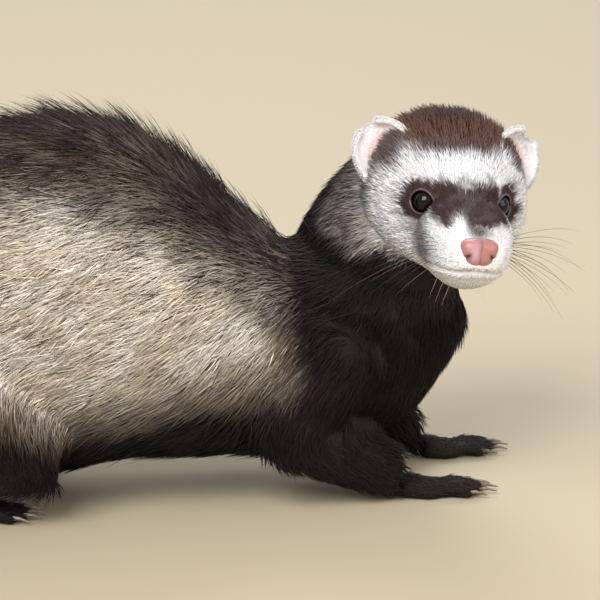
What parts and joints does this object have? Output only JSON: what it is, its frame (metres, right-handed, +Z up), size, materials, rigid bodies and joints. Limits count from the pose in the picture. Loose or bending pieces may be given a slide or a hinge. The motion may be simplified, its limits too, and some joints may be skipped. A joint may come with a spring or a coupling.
{
  "type": "ferret",
  "caption": "Life-size standing ferret with an arched back, low head turned to its right, dark legs and tail, cream flanks and a masked white face.",
  "frame": {"origin": "centre of the bottom of the bounding box, on the plane that the soles stand on", "axes": "+X from the tail towards the chest, along the body; +Y towards the animal's left; +Z up"},
  "size_m": [0.3766, 0.1138, 0.119],
  "materials": {
    "coat_cream": "soft cream fur with dark-tipped guard hairs",
    "coat_dark": "soft near-black fur with a brown sheen",
    "coat_white": "short white fur with a dark brown mask and crown",
    "nose_pink": "moist bare skin",
    "ear_pale": "thin skin with very short pale fur",
    "eye_dark": "wet and very dark",
    "claw_dark": "horn, lightly polished"
  },
  "bodies": {
    "root": {"head": "coat_white", "nose": "nose_pink", "ear_left": "ear_pale", "ear_right": "ear_pale", "eye_left": "eye_dark", "eye_right": "eye_dark", "neck": "coat_dark", "chest": "coat_dark", "torso": "coat_cream", "tail": "coat_dark", "foreleg_left": "coat_dark", "foreleg_right": "coat_dark", "hindleg_left": "coat_dark", "hindleg_right": "coat_dark", "forepaw_left": "coat_dark", "forepaw_right": "coat_dark", "hindpaw_left": "coat_dark", "hindpaw_right": "coat_dark", "forepaw_left_claw_1": "claw_dark", "forepaw_left_claw_2": "claw_dark", "forepaw_left_claw_3": "claw_dark", "forepaw_left_claw_4": "claw_dark", "forepaw_left_claw_5": "claw_dark", "forepaw_right_claw_1": "claw_dark", "forepaw_right_claw_2": "claw_dark", "forepaw_right_claw_3": "claw_dark", "forepaw_right_claw_4": "claw_dark", "forepaw_right_claw_5": "claw_dark", "hindpaw_left_claw_1": "claw_dark", "hindpaw_left_claw_2": "claw_dark", "hindpaw_left_claw_3": "claw_dark", "hindpaw_left_claw_4": "claw_dark", "hindpaw_left_claw_5": "claw_dark", "hindpaw_right_claw_1": "claw_dark", "hindpaw_right_claw_2": "claw_dark", "hindpaw_right_claw_3": "claw_dark", "hindpaw_right_claw_4": "claw_dark", "hindpaw_right_claw_5": "claw_dark"}
  },
  "joints": []
}
